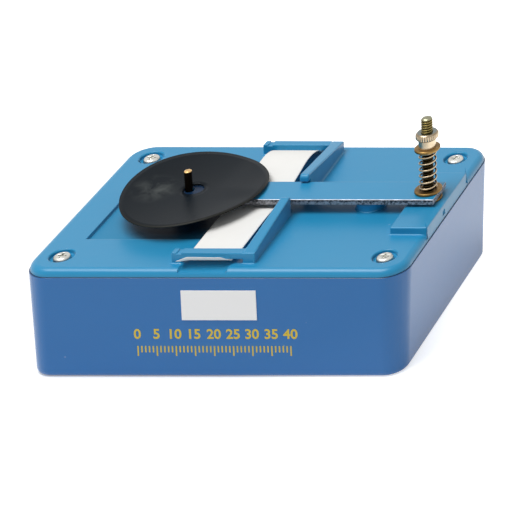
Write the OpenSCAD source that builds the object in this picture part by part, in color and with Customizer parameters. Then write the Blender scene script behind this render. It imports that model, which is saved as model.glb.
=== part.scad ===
// Ticker timer: a plastic case whose lid carries a tape track, a loose carbon
// disc on a pin, and a vibrating steel strip held down on a stud by a sprung
// thumb nut. An alternating-current coil in the case pulls the strip.
//
// Origin: centre of the case's underside. +X is right, -Y is the front, +Z up.

/* [Case] */
// Width of the case, left to right
case_w = 100; // [84:1:140]
// Depth of the case, front to back
case_d = 66; // [58:1:90]
// Height from the underside to the lid's flat top
case_h = 30; // [25:1:45]
// Radius of the upright corners
corner_r = 6.5; // [5:0.5:9]
// Draft of the tray's walls, in degrees
draft = 2.3; // [0:0.1:3]
// Thickness of the tray's walls at the top
wall = 2; // [1.6:0.1:3]
// Thickness of the tray's floor
floor_t = 2; // [1.5:0.1:3]
// Radius of the rounded edge under the tray
foot_r = 1.4; // [0.6:0.1:1.5]

/* [Front label] */
// Width of the blank label
label_w = 19.6; // [12:0.1:30]
// Height of the label
label_h = 8.3; // [5:0.1:12]
// Sideways place of the label's middle
label_x = 1.7; // [-20:0.1:20]
// Distance of the label's top edge below the lid's top
label_drop = 5.4; // [4:0.1:12]
// Thickness of the label
label_t = 0.2; // [0.1:0.05:0.4]

/* [Lid] */
// Thickness of the lid's plate, which is also the height of its rim
lid_t = 2; // [1.8:0.1:3]
// Radius of the rolled edge round the top
roll_r = 1.8; // [0.8:0.1:1.8]
// Inset of the lid's rim from the tray's rim, all round
rim_inset = 0.25; // [0:0.05:0.3]
// Depth of the lip that drops inside the tray
lip_h = 2; // [1:0.5:4]
// Thickness of the lip
lip_t = 1.4; // [1:0.1:2]
// Gap between the lip and the tray's wall
lip_gap = 0.15; // [0.05:0.05:0.3]
// Depth of the pocket under the carbon disc
pocket_depth = 1; // [0.4:0.1:1.2]
// Height of the raised pad that carries the stud
pad_h = 2; // [1:0.5:4]
// Length of the raised pad, front to back
pad_len = 29; // [20:1:36]
// Width of the moulding gate's notch in the pad's right side
gate_w = 1.6; // [1:0.1:3]
// Height of that notch
gate_h = 1.4; // [1:0.1:2]
// Depth of that notch
gate_depth = 0.3; // [0.1:0.05:0.5]
// Distance from the pad's left edge to the case's right side
pad_w = 10.3; // [9:0.1:14]

/* [Case screws] */
// Distance of each screw from the two nearest sides
screw_inset = 7.5; // [6.5:0.5:10]
// Diameter of the screw's shank
screw_d = 2.5; // [2:0.1:3]
// Length of the screw under its head
screw_len = 12; // [8:1:16]
// Diameter of the screw's head
screw_head_d = 4.4; // [3.8:0.1:5]
// Diameter of the sunk seat round the head
seat_d = 6.4; // [5.6:0.1:7]
// Depth of the sunk seat
seat_depth = 1.2; // [0.8:0.1:1.4]

/* [Tape track] */
// Width of the paper tape
tape_w = 12.8; // [10:0.1:16]
// Sideways place of the tape's middle
tape_x = -1.85; // [-3:0.05:2]
// Space beside the tape in each guide's slot
slot_side = 1.2; // [0.5:0.1:2]
// Height of each guide's slot
slot_h = 1.1; // [0.9:0.1:1.5]
// Height of the guide bars above the lid
bar_h = 2.9; // [2.4:0.1:4]
// Thickness of the guide bars, front to back
bar_t = 2.4; // [1.6:0.1:3]
// Width of the foot at the left end of a bar
bar_foot = 2.6; // [2:0.1:4]
// Distance of the guide bars from the front and back of the case
bar_inset = 3.6; // [2.5:0.1:6]
// Distance of the moulded nick in a bar's top from its left end
nick_inset = 1.5; // [1:0.1:3]
// Width of that nick
nick_w = 1; // [0.6:0.1:1.6]
// Depth of that nick
nick_depth = 0.3; // [0.1:0.05:0.5]
// Depth of the scoop in the lid's front edge, below the slot
scoop_depth = 0.9; // [0.3:0.1:1.2]
// Width of the arm that runs from a bar to the strip
arm_w = 3; // [2:0.1:4]
// Height of the front arm at the strip
front_arm_h = 5.4; // [4.6:0.1:7]
// Height of the rear arm at the strip
rear_arm_h = 6.6; // [5.8:0.1:8]
// Reach of the rear arm over the strip's edge
hook_reach = 1.4; // [0.5:0.1:2.5]
// Length of tape that shows past each bar
tape_tail = 1.8; // [0.5:0.1:4]

/* [Vibrating strip] */
// Width of the steel strip
strip_w = 9.5; // [7:0.1:12]
// Thickness of the steel strip
strip_t = 1.5; // [1:0.1:2]
// Distance from the stud to the case's right side
stud_inset = 5.5; // [5:0.1:8]
// Strip past the stud's middle
strip_over = 3.1; // [2.4:0.1:4]
// Gap between the strip and its arms, on each side
strip_gap = 0.25; // [0.15:0.05:0.5]
// Distance from the striker to the strip's free end
striker_inset = 3; // [2:0.1:5]
// Diameter of the striker below the strip
striker_d = 2.4; // [1.6:0.1:3]
// Length of the striker below the strip
striker_drop = 1; // [0.6:0.1:1.2]

/* [Adjuster] */
// Diameter of the stud
stud_d = 3; // [2.5:0.1:4]
// Height of the stud above the lid
stud_h = 25.2; // [20:0.1:32]
// Diameter of the washers
washer_d = 7.2; // [6.5:0.1:9]
// Thickness of the two upper washers
washer_t = 0.8; // [0.5:0.1:1.2]
// Thickness of the washer under the strip
pivot_t = 0.6; // [0.4:0.1:1]
// Gap between the stud and the spring's turns
spring_clear = 0.4; // [0.2:0.05:0.6]
// Diameter of the spring's wire
wire_d = 0.45; // [0.3:0.05:0.7]
// Height of the spring between its washers
spring_h = 11; // [7:0.1:14]
// Turns of the spring
spring_turns = 7; // [4:0.5:8]
// Diameter of the thumb nut's knurled head
nut_d = 6; // [5.5:0.1:9]
// Height of the thumb nut's knurled head
nut_h = 2; // [1.5:0.1:6]
// Diameter of the thumb nut's collar
collar_d = 4.5; // [4:0.1:5.5]
// Height of the thumb nut's collar
collar_h = 2.3; // [1:0.1:3]
// Number of knurl ridges
knurls = 28; // [20:1:36]

/* [Carbon disc] */
// Diameter of the disc
disc_d = 39; // [34:0.5:44]
// Thickness of the disc
disc_t = 0.4; // [0.2:0.1:0.6]
// Diameter of the hole in the disc
disc_hole = 5.8; // [4:0.1:7]
// Width of tape that the disc covers
disc_lap = 8.8; // [6:0.1:10]
// Diameter of the pin
pin_d = 2.2; // [1.5:0.1:3]
// Height of the pin above the lid
pin_h = 9.9; // [7:0.1:14]
// Sideways distance from the disc's middle to the pin
pin_shift = 1.3; // [0:0.1:1.5]
// Diameter of the boss that holds the pin
pin_boss_d = 8; // [7.2:0.1:10]

/* [Coil] */
// Distance from the stud to the coil
coil_reach = 15.5; // [14.5:0.5:20]
// Diameter of the iron core
core_d = 5.6; // [4:0.1:6.5]
// Diameter of the lid's boss over the core
core_boss_d = 7.8; // [7:0.1:9]
// Height of that boss above the lid
core_boss_h = 2.2; // [1.6:0.1:2.2]
// Wall of that boss
core_boss_wall = 0.9; // [0.7:0.1:1.2]
// Diameter of the bobbin's flanges
flange_d = 20; // [16:0.5:22]
// Thickness of the bobbin's flanges
flange_t = 1.2; // [1:0.1:2]
// Wall of the bobbin's tube
tube_t = 0.9; // [0.7:0.1:1.5]
// Depth of bare flange outside the winding
winding_inset = 1; // [0.5:0.1:2]
// Space between the bobbin and the lid
headroom = 2.8; // [2.6:0.1:5]
// Diameter of the magnet under the core
magnet_d = 10; // [8:0.5:12]
// Thickness of the magnet
magnet_t = 2; // [1.5:0.1:4]
// Thickness of the steel bracket
bracket_t = 1.2; // [0.8:0.1:2]
// Width of the bracket
bracket_w = 12; // [9:0.5:16]
// Distance between the bracket's two screws
bracket_pitch = 28; // [26:1:34]

/* [Sockets] */
// Distance between the two sockets
socket_pitch = 19; // [17:0.5:24]
// Height of the sockets above the underside
socket_z = 15; // [12:0.5:20]
// Bore of each socket
socket_bore = 4; // [3.9:0.05:4.1]
// Depth of that bore
socket_depth = 14; // [10:0.5:16]
// Diameter of the socket's outer collar
socket_collar_d = 10.5; // [10:0.1:12]
// Thickness of the socket's outer collar
socket_collar_t = 3; // [2:0.1:5]
// Diameter of the socket's threaded barrel
barrel_d = 7.9; // [7:0.1:9]
// Length of the barrel behind the collar
barrel_len = 12; // [9:0.5:14]
// Thickness of the socket's nut
socket_nut_t = 2.5; // [1.5:0.1:4]
// Diameter of the insulated leads
lead_d = 1.2; // [0.8:0.1:1.6]

/* [Fits] */
// Radial clearance of a shaft in its hole
fit = 0.05; // [0.02:0.01:0.1]
// Gap between loose pieces that lie on each other
rest_gap = 0.3; // [0.2:0.05:0.4]
// Gap between the strip and the disc, within which the strip swings up
swing_gap = 0.45; // [0.4:0.05:0.6]

/* [Hidden] */
$fn = 48;
eps = 0.01;

// levels
rim_z = case_h - lid_t;                  // where the lid meets the tray
pad_z = case_h + pad_h;                  // top of the raised pad
rock_gap = 0.1;                          // lets the strip rock on its washer
pivot_z = pad_z + pivot_t;               // the strip rocks about this level
strip_z = pivot_z + rock_gap;            // underside of the strip
strip_top = strip_z + strip_t;
lower_washer_top = strip_top + washer_t;
upper_washer_z = lower_washer_top + spring_h;
nut_z = upper_washer_z + washer_t;
disc_z = strip_top + swing_gap;          // the disc lies over the strip, on its boss
hook_z = strip_top + swing_gap;          // underside of the rear arm's reach
tape_t = 0.3;                            // tape drawn thicker than paper
tape_z = case_h + rest_gap + 0.05;
bracket_z = floor_t + magnet_t;
bobbin_z = bracket_z + bracket_t;
bobbin_h = rim_z - headroom - bobbin_z;

// plan places
stud_x = case_w / 2 - stud_inset;
coil_x = stud_x - coil_reach;
tape_left = tape_x - tape_w / 2;
tape_right = tape_x + tape_w / 2;
disc_x = tape_left + disc_lap - disc_d / 2;
disc_y = -0.4;
pin_x = disc_x - pin_shift;
striker_x = tape_left + disc_lap / 2;
strip_left = striker_x - striker_inset;
strip_right = stud_x + strip_over;
arm_left = tape_right + 2.1;
slot_left = tape_left - slot_side;
slot_right = arm_left + 0.2;
bar_left = slot_left - bar_foot;
scoop_left = tape_left - 0.8;
scoop_right = tape_right - 1;
pocket_right = tape_left - 1.4;
pocket_left = disc_x - disc_d / 2 - 1.6;
pocket_half = disc_d / 2 - 2.4;
screw_x = case_w / 2 - screw_inset;
screw_y = case_d / 2 - screw_inset;
screw_seat_z = case_h - seat_depth;
lug_d = seat_d + 1.6;                    // round lug under each screw seat
lug_z = rim_z - 2;

// the tray's sloped walls
tray_slope = rim_z * tan(draft);
slope_angle = atan(tray_slope / (rim_z - foot_r));
function wall_in(z) = (rim_z - z) * tan(slope_angle);

// the sockets' seats in the back wall
wall_y = case_d / 2 - wall_in(socket_z);
socket_seat_y = wall_y - 0.4;
nut_seat_y = case_d / 2 - wall + 0.1;
sleeve_d = barrel_d - 1.9;
tail_d = 3;
tail_y = socket_seat_y - barrel_len - 2.4;
tail_len = 4;
tag_t = 0.6;

// ---- shapes shared by several pieces ----

// Points of an arc round [x, y], from one angle to another
function arc(x, y, r, from, to, steps) =
    [for (i = [0:steps]) let (a = from + (to - from) * i / steps)
        [x + r * cos(a), y + r * sin(a)]];

module plate_outline(w, d, r) {
    square([w - 2 * r, d], center = true);
    square([w, d - 2 * r], center = true);
    for (x = [-1, 1], y = [-1, 1])
        translate([x * (w / 2 - r), y * (d / 2 - r)]) circle(r);
}

module plate(w, d, r, h) {
    linear_extrude(h) plate_outline(w, d, r);
}

// A block whose upright section is the outline, from the corner's centre line
// outwards, carried round four corners and four sides
module swept_block(w, d, r, h, outline) {
    half_w = w / 2 - r;
    half_d = d / 2 - r;
    translate([-half_w, -half_d, 0]) cube([2 * half_w, 2 * half_d, h]);
    for (side = [0:3]) {
        across = side % 2 == 0;
        rotate([0, 0, 90 * side])
            translate([across ? half_w : half_d, 0, 0])
                rotate([90, 0, 0])
                    linear_extrude(across ? 2 * half_d : 2 * half_w, center = true)
                        polygon(outline);
        rotate([0, 0, 90 * side])
            translate([across ? half_w : half_d, across ? half_d : half_w, 0])
                rotate_extrude(angle = 90) polygon(outline);
    }
}

module ring(outer_d, inner_r, h) {
    difference() {
        cylinder(h, d = outer_d);
        translate([0, 0, -1]) cylinder(h + 2, r = inner_r);
    }
}

module at_screws() {
    for (x = [-1, 1], y = [-1, 1]) translate([x * screw_x, y * screw_y, 0]) children();
}

module at_bracket_screws() {
    for (y = [-1, 1]) translate([coil_x, y * bracket_pitch / 2, 0]) children();
}

// A pan-headed screw with a cross slot, its seat at zero and its shank below
module pan_screw(shank_d, length, head_d, head_h) {
    difference() {
        rotate_extrude()
            polygon(concat([[0, 0], [head_d / 2, 0]],
                           arc(head_d / 2 - head_h * 0.6, head_h * 0.4, head_h * 0.6, 0, 90, 5),
                           [[0, head_h]]));
        for (a = [0, 90])
            rotate([0, 0, a])
                translate([-head_d * 0.28, -head_d * 0.06, head_h * 0.45])
                    cube([head_d * 0.56, head_d * 0.12, head_h]);
    }
    rotate_extrude()
        polygon([[0, -length], [shank_d * 0.2, -length], [shank_d / 2, -length + shank_d * 0.6],
                 [shank_d / 2, 0.2], [0, 0.2]]);
}

// A tube of the given radius along a path, closed at both ends
function unit(v) = v / norm(v);
function heading(path, i) =
    unit(path[min(i + 1, len(path) - 1)] - path[max(i - 1, 0)]);
function side_of(d, last) = unit(last - d * (last * d));
function sides_along(path, i, last) =
    i == len(path) ? [] :
    let (s = side_of(heading(path, i), last)) concat([s], sides_along(path, i + 1, s));

module tube(path, radius, sides, start_side) {
    across = sides_along(path, 0, start_side);
    rings = len(path);
    points = [for (i = [0:rings - 1]) let (d = heading(path, i), s = across[i], t = cross(d, s))
        for (k = [0:sides - 1])
            path[i] + radius * (cos(360 * k / sides) * s + sin(360 * k / sides) * t)];
    walls = [for (i = [0:rings - 2]) for (k = [0:sides - 1])
        let (a = i * sides + k, b = i * sides + (k + 1) % sides)
            each [[a, a + sides, b], [b, a + sides, b + sides]]];
    caps = [for (k = [1:sides - 2]) each
        [[0, k, k + 1],
         [(rings - 1) * sides, (rings - 1) * sides + k + 1, (rings - 1) * sides + k]]];
    polyhedron(points, concat(walls, caps));
}

// ---- the case ----

tray_edge = corner_r - tray_slope;
tray_outline = concat([[0, 0]],
                      arc(tray_edge - foot_r, foot_r, foot_r, -90, 0, 5),
                      [[corner_r, rim_z], [0, rim_z]]);
cavity_outline = [[0, 0], [corner_r - wall - wall_in(floor_t), 0],
                  [corner_r - wall, rim_z - floor_t], [corner_r - wall, rim_z], [0, rim_z]];

module case_base() color("#2f6cb0") {
    difference() {
        union() {
            difference() {
                swept_block(case_w, case_d, corner_r, rim_z, tray_outline);
                translate([0, 0, floor_t])
                    swept_block(case_w, case_d, corner_r, rim_z, cavity_outline);
            }
            at_screws() translate([0, 0, floor_t - eps])
                cylinder(lug_z - 0.1 - floor_t + eps, d = lug_d - 0.8);
            at_bracket_screws() translate([0, 0, floor_t - eps])
                cylinder(magnet_t + eps, d = 6);
            translate([coil_x, 0, floor_t - eps])
                ring(magnet_d + 2.2, magnet_d / 2 + 0.1, magnet_t * 0.6);
        }
        at_screws() translate([0, 0, screw_seat_z - screw_len - 2])
            cylinder(case_h, r = screw_d / 2 + 0.02);
        at_bracket_screws() translate([0, 0, floor_t - 1])
            cylinder(case_h, r = 1.02);
        for (x = [-1, 1]) translate([x * socket_pitch / 2, 0, socket_z]) {
            translate([0, case_d / 2 + 1, 0]) rotate([90, 0, 0])
                cylinder(wall + 3, r = barrel_d / 2 + fit);
            translate([0, case_d / 2 + 1, 0]) rotate([90, 0, 0])
                cylinder(case_d / 2 + 1 - socket_seat_y, d = socket_collar_d + 0.6);
            translate([0, nut_seat_y, 0]) rotate([90, 0, 0])
                cylinder(1, d = socket_collar_d + 1.5);
        }
    }
}

module front_label() color("#f2f2ee")
    translate([label_x, -case_d / 2 + wall_in(case_h - label_drop) - 0.005, case_h - label_drop])
        rotate([slope_angle, 0, 0])
            translate([-label_w / 2, -label_t, -label_h]) cube([label_w, label_t, label_h]);

// ---- the lid ----

lid_outline = concat([[0, 0], [corner_r, 0]],
                     arc(corner_r - roll_r, lid_t - roll_r, roll_r, 0, 90, 6),
                     [[0, lid_t]]);

// The rear guide: a bar over the tape's slot and an arm that runs forwards from
// it to the strip, rising as it goes. The arm may reach over the strip's edge
// and lean to the right.
module guide(arm_h, reach, lean) {
    near = strip_w / 2 + strip_gap;
    far = case_d / 2 - bar_inset;
    tip = near - reach;
    difference() {
        translate([bar_left, far - bar_t, case_h - eps])
            cube([arm_left + arm_w + 0.2 - bar_left, bar_t, bar_h + eps]);
        translate([slot_left, far - bar_t - 1, case_h])
            cube([slot_right - slot_left, bar_t + 2, slot_h]);
        translate([bar_left + nick_inset, far - bar_t - 1, case_h + bar_h - nick_depth])
            cube([nick_w, bar_t + 2, 1]);
    }
    intersection() {
        translate([arm_left - 1, 0, 0]) rotate([90, 0, 90]) linear_extrude(arm_w + 2)
            polygon([[far, case_h - eps], [near, case_h - eps], [near, hook_z], [tip, hook_z],
                     [tip, case_h + arm_h - 0.6], [tip + 0.6, case_h + arm_h],
                     [far, case_h + bar_h]]);
        translate([0, 0, case_h - 1]) linear_extrude(arm_h + 2)
            polygon([[arm_left, far], [arm_left + lean + 0.2, tip],
                     [arm_left + lean + arm_w - 0.4, tip], [arm_left + arm_w + 0.2, far]]);
    }
}

module case_lid() color("#4c97cf") {
    difference() {
        union() {
            translate([0, 0, rim_z])
                swept_block(case_w - 2 * rim_inset, case_d - 2 * rim_inset, corner_r, lid_t, lid_outline);
            translate([0, 0, rim_z - lip_h]) difference() {
                plate(case_w - 2 * (wall + lip_gap), case_d - 2 * (wall + lip_gap),
                      corner_r - wall - lip_gap, lip_h + eps);
                translate([0, 0, -1])
                    plate(case_w - 2 * (wall + lip_gap + lip_t), case_d - 2 * (wall + lip_gap + lip_t),
                          corner_r - wall - lip_gap - lip_t, lip_h + 1);
            }
            at_screws() translate([0, 0, lug_z]) cylinder(rim_z - lug_z + eps, d = lug_d);
            translate([case_w / 2 - pad_w, -pad_len / 2 - 0.5, rim_z])
                cube([pad_w - rim_inset, pad_len, lid_t + pad_h]);
            translate([coil_x, 0, case_h - eps]) cylinder(core_boss_h + eps, d = core_boss_d);
            translate([pin_x, 0, rim_z]) cylinder(pin_boss_z - rim_z, d = pin_boss_d);
            guide(rear_arm_h, hook_reach, 1.2);
            mirror([0, 1, 0]) guide(front_arm_h, 0, 0);
        }
        difference() {
            translate([pocket_left, -pocket_half, case_h - pocket_depth])
                cube([pocket_right - pocket_left, 2 * pocket_half, pocket_depth + 1]);
            translate([pin_x, 0, 0]) cylinder(2 * case_h, d = pin_boss_d);
        }
        translate([pin_x, 0, pin_foot_z]) cylinder(case_h, r = pin_d / 2 + 0.02);
        translate([scoop_left, -case_d / 2, case_h]) rotate([90, 0, 90])
            linear_extrude(scoop_right - scoop_left)
                polygon([[-1, -scoop_depth], [1, -scoop_depth], [bar_inset, 0], [bar_inset, 0.2],
                         [-1, 0.2]]);
        translate([case_w / 2 - rim_inset - gate_depth, -gate_w / 2 - 3, case_h - 1])
            cube([gate_depth + 1, gate_w, gate_h]);
        at_screws() {
            translate([0, 0, screw_seat_z]) cylinder(seat_depth + 1, d = seat_d);
            translate([0, 0, lug_z - 1]) cylinder(case_h, r = screw_d / 2 + 0.15);
        }
        translate([stud_x, 0, 0]) {
            cylinder(case_h + 20, r = stud_d / 2 + 0.02);
            translate([0, 0, rim_z - lip_h - 1]) cylinder(lip_h + 1, d = stud_head_d + 0.6);
        }
        translate([coil_x, 0, rim_z - 1])
            cylinder(lid_t + 1 + core_boss_h - core_boss_wall, d = core_boss_d - 2 * core_boss_wall);
    }
}

pin_foot_z = rim_z + 0.8;
pin_boss_z = disc_z - rest_gap;

module lid_screws() color("#d8d8d4")
    at_screws() translate([0, 0, screw_seat_z])
        pan_screw(screw_d, screw_len, screw_head_d, seat_depth + 0.1);

// ---- the stud and what is threaded on it ----

stud_head_d = 5.6;
stud_head_h = 2;
stud_top = case_h + stud_h;

module adjuster_stud() color("#c9b37a")
    translate([stud_x, 0, 0]) difference() {
        rotate_extrude()
            polygon(concat([[0, rim_z - stud_head_h], [stud_head_d / 2 - 0.5, rim_z - stud_head_h],
                            [stud_head_d / 2, rim_z - stud_head_h + 0.5], [stud_head_d / 2, rim_z],
                            [stud_d / 2, rim_z]],
                           arc(stud_d / 2 - 0.6, stud_top - 0.6, 0.6, 0, 90, 4),
                           [[0, stud_top]]));
        translate([-stud_head_d, -0.4, rim_z - stud_head_h - 1])
            cube([2 * stud_head_d, 0.8, 1.8]);
    }

module pivot_washer() color("#b98a4a")
    translate([stud_x, 0, pad_z]) ring(washer_d, stud_d / 2 + fit, pivot_t);

module armature_strip() color("#b9bcc0")
    difference() {
        translate([strip_left, -strip_w / 2, strip_z])
            cube([strip_right - strip_left, strip_w, strip_t]);
        translate([stud_x, 0, strip_z - 1]) cylinder(strip_t + 2, r = stud_d / 2 + 0.3);
        translate([striker_x, 0, strip_z - 1]) cylinder(strip_t + 2, r = rivet_r + 0.02);
    }

rivet_r = 0.8;

module striker() color("#9a9da1")
    translate([striker_x, 0, 0]) rotate_extrude()
        polygon([[0, strip_z - striker_drop], [0.35, strip_z - striker_drop],
                 [striker_d / 2, strip_z - striker_drop * 0.5], [striker_d / 2, strip_z],
                 [rivet_r, strip_z], [rivet_r, strip_top], [0, strip_top]]);

module lower_washer() color("#b98a4a")
    translate([stud_x, 0, strip_top]) ring(washer_d, stud_d / 2 + 0.15, washer_t);

// The spring: one tube whose two ends stand square to the washers
coil_r = stud_d / 2 + spring_clear + wire_d / 2;
spring_end = wire_d;
spring_foot = lower_washer_top + 0.05;
spring_rise = spring_h - 0.1 - 2 * spring_end;
rings_per_turn = 8;
spring_rings = spring_turns * rings_per_turn;
function spring_point(i) =
    let (a = 360 * i / rings_per_turn)
        [stud_x + coil_r * cos(a), coil_r * sin(a),
         spring_foot + spring_end + spring_rise * i / spring_rings];
spring_path = concat(
    [spring_point(0) - [0, 0, spring_end]],
    [for (i = [0:spring_rings]) spring_point(i)],
    [spring_point(spring_rings) + [0, 0, spring_end]]);
spring_least_gap = min([for (i = [0:spring_rings - rings_per_turn])
    for (j = [i + rings_per_turn - 1:min(i + rings_per_turn + 1, spring_rings)])
        norm(spring_point(i) - spring_point(j))]) - wire_d;

module adjusting_spring() color("#cfc9b4")
    tube(spring_path, wire_d / 2, 6, [1, 0, 0]);

module upper_washer() color("#b98a4a")
    translate([stud_x, 0, upper_washer_z]) ring(washer_d - 0.5, stud_d / 2 + 0.15, washer_t);

// The thumb nut: a plain collar under a knurled head with chamfered rims
module thumb_nut() color("#c8c4b6")
    translate([stud_x, 0, nut_z]) difference() {
        union() {
            cylinder(collar_h + eps, d = collar_d);
            intersection() {
                translate([0, 0, collar_h]) linear_extrude(nut_h)
                    polygon([for (i = [0:2 * knurls - 1])
                        let (r = nut_d / 2 - (i % 2) * 0.25, a = 180 * i / knurls)
                            [r * cos(a), r * sin(a)]]);
                translate([0, 0, collar_h]) rotate_extrude()
                    polygon([[0, 0], [nut_d / 2 - 0.5, 0], [nut_d / 2 + 0.1, 0.6],
                             [nut_d / 2 + 0.1, nut_h - 0.6], [nut_d / 2 - 0.5, nut_h], [0, nut_h]]);
            }
        }
        translate([0, 0, -1]) cylinder(collar_h + nut_h + 2, r = stud_d / 2 + fit);
    }

// ---- the disc, its pin and the tape ----

module disc_pin() color("#b08d4c")
    translate([pin_x, 0, 0]) rotate_extrude()
        polygon([[0, pin_foot_z], [pin_d / 2, pin_foot_z], [pin_d / 2, case_h + pin_h - 0.3],
                 [pin_d / 2 - 0.3, case_h + pin_h], [0, case_h + pin_h]]);

module carbon_disc() color("#2a3038")
    translate([disc_x, disc_y, disc_z]) ring(disc_d, disc_hole / 2, disc_t);

module paper_tape() color("#f4f2ec")
    translate([tape_left, -case_d / 2 + bar_inset - tape_tail, tape_z])
        cube([tape_w, case_d - 2 * bar_inset + 2 * tape_tail, tape_t]);

// ---- the coil ----

bobbin_tube_d = core_d + 2 * (fit + tube_t);

module coil_bobbin() color("#e9e4d4")
    translate([coil_x, 0, bobbin_z]) difference() {
        union() {
            cylinder(flange_t, d = flange_d);
            cylinder(bobbin_h, d = bobbin_tube_d);
            translate([0, 0, bobbin_h - flange_t]) cylinder(flange_t, d = flange_d);
        }
        translate([0, 0, -1]) cylinder(bobbin_h + 2, r = core_d / 2 + fit);
    }

module coil_winding() color("#b5652b")
    translate([coil_x, 0, bobbin_z + flange_t])
        ring(flange_d - 2 * winding_inset, bobbin_tube_d / 2 + 0.02, bobbin_h - 2 * flange_t);

// Two tags that stand on the bobbin's upper flange and take the leads
coil_tag_x = coil_x - flange_d / 2 + 0.5;
coil_tag_y = 4;
coil_tag_z = bobbin_z + bobbin_h;

module coil_tags() color("#d5cfbb")
    for (y = [-1, 1]) translate([coil_tag_x, y * coil_tag_y - 1.25, coil_tag_z])
        cube([tag_t, 2.5, headroom - 0.4]);

module pole_core() color("#8f9296")
    translate([coil_x, 0, bracket_z])
        cylinder(case_h + core_boss_h - core_boss_wall - 0.2 - bracket_z, d = core_d);

module bias_magnet() color("#55585c")
    translate([coil_x, 0, floor_t]) cylinder(magnet_t, d = magnet_d);

module coil_bracket() color("#a9adb1")
    difference() {
        translate([coil_x, 0, bracket_z])
            plate(bracket_w, bracket_pitch + 8, 3, bracket_t);
        translate([coil_x, 0, 0]) cylinder(case_h, r = core_d / 2 + fit);
        at_bracket_screws() cylinder(case_h, r = 1.2);
    }

module bracket_screws() color("#d8d8d4")
    at_bracket_screws() translate([0, 0, bobbin_z])
        pan_screw(2, magnet_t + bracket_t + 0.8, 3.8, 1.3);

// ---- the sockets and their leads ----

module on_socket(x) {
    translate([x * socket_pitch / 2, socket_seat_y, socket_z]) rotate([-90, 0, 0]) children();
}

// The moulded shell of a socket: a collar outside the wall and a barrel through it
module socket_shell() {
    difference() {
        rotate_extrude()
            polygon([[0, -barrel_len], [barrel_d / 2 - 0.4, -barrel_len],
                     [barrel_d / 2, -barrel_len + 0.4], [barrel_d / 2, 0],
                     [socket_collar_d / 2, 0], [socket_collar_d / 2, socket_collar_t - 0.5],
                     [socket_collar_d / 2 - 0.5, socket_collar_t], [0, socket_collar_t]]);
        translate([0, 0, -barrel_len - 1])
            cylinder(barrel_len + socket_collar_t + 2, r = sleeve_d / 2 + 0.02);
    }
}

// The turned metal sleeve that takes a plug, with a solid tail for the tag
module socket_sleeve() {
    mouth = socket_collar_t - 0.4;
    difference() {
        union() {
            translate([0, 0, tail_y - socket_seat_y])
                cylinder(mouth - tail_y + socket_seat_y, d = sleeve_d);
            translate([0, 0, tail_y - socket_seat_y - tail_len])
                cylinder(tail_len + eps, d = tail_d);
        }
        translate([0, 0, mouth - socket_depth]) cylinder(socket_depth + 1, d = socket_bore);
    }
}

module socket_left() color("#26282b") on_socket(-1) socket_shell();
module socket_right() color("#26282b") on_socket(1) socket_shell();
module sleeve_left() color("#cfc8ae") on_socket(-1) socket_sleeve();
module sleeve_right() color("#cfc8ae") on_socket(1) socket_sleeve();

module socket_nuts() color("#c9c9c4")
    for (x = [-1, 1]) translate([x * socket_pitch / 2, nut_seat_y, socket_z]) rotate([90, 0, 0])
        difference() {
            cylinder(socket_nut_t, d = socket_collar_d + 0.4, $fn = 6);
            translate([0, 0, -1]) cylinder(socket_nut_t + 2, r = barrel_d / 2 + fit);
        }

// A ring tag on each tail, with an eye below it for the lead
tag_drop = 5.5;
module socket_tags() color("#d5cfbb")
    for (x = [-1, 1]) translate([x * socket_pitch / 2, tail_y, socket_z]) rotate([90, 0, 0])
        difference() {
            union() {
                cylinder(tag_t, d = tail_d + 3);
                translate([-1.25, -tag_drop, 0]) cube([2.5, tag_drop, tag_t]);
            }
            translate([0, 0, -1]) cylinder(tag_t + 2, r = tail_d / 2 + 0.02);
        }

// The leads' routes from the sockets' tags to the coil's tags
solder_gap = 0.15;
lead_start_y = tail_y - tag_t - solder_gap;
lead_start_z = socket_z - 4;
lead_end_x = coil_tag_x - solder_gap;
lead_end_z = coil_tag_z + 1.2;
socket_x = socket_pitch / 2;
lead_left_route = [
    [-socket_x, lead_start_y, lead_start_z], [-socket_x, lead_start_y - 1.2, lead_start_z],
    [-socket_x, lead_start_y - 3.8, 10], [-9, 9.5, 7.5], [-6.5, 4, 5], [-1, -1.5, 4], [5, -4.5, 6],
    [9, -5.5, 11], [11, -5.5, 17], [13, -5, 22.5], [lead_end_x - 4.4, -4.2, 25.5],
    [lead_end_x - 1.2, -4, lead_end_z], [lead_end_x, -4, lead_end_z]
];
lead_right_route = [
    [socket_x, lead_start_y, lead_start_z], [socket_x, lead_start_y - 1.2, lead_start_z],
    [socket_x, lead_start_y - 3.8, 10], [9.8, 10.5, 8.5], [10.2, 7.5, 9.5], [10.5, 5.5, 13], [11, 5, 17],
    [12.5, 4.6, 22], [lead_end_x - 4.4, 4.2, 25.3],
    [lead_end_x - 1.2, 4, lead_end_z], [lead_end_x, 4, lead_end_z]
];

// A smooth path through the points of a route
function blend(a, b, c, d, t) =
    0.5 * (2 * b + (c - a) * t + (2 * a - 5 * b + 4 * c - d) * t * t
           + (3 * b - a - 3 * c + d) * t * t * t);
function smooth_path(p, steps) =
    let (n = len(p) - 1)
        concat([for (i = [0:n - 1]) for (s = [0:steps - 1])
            blend(p[max(i - 1, 0)], p[i], p[i + 1], p[min(i + 2, n)], s / steps)],
            [p[n]]);

module lead_left() color("#c8332b")
    tube(smooth_path(lead_left_route, 2), lead_d / 2, 8, [1, 0, 0]);
module lead_right() color("#26282b")
    tube(smooth_path(lead_right_route, 2), lead_d / 2, 8, [1, 0, 0]);

echo(spring_least_gap = spring_least_gap);

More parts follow.
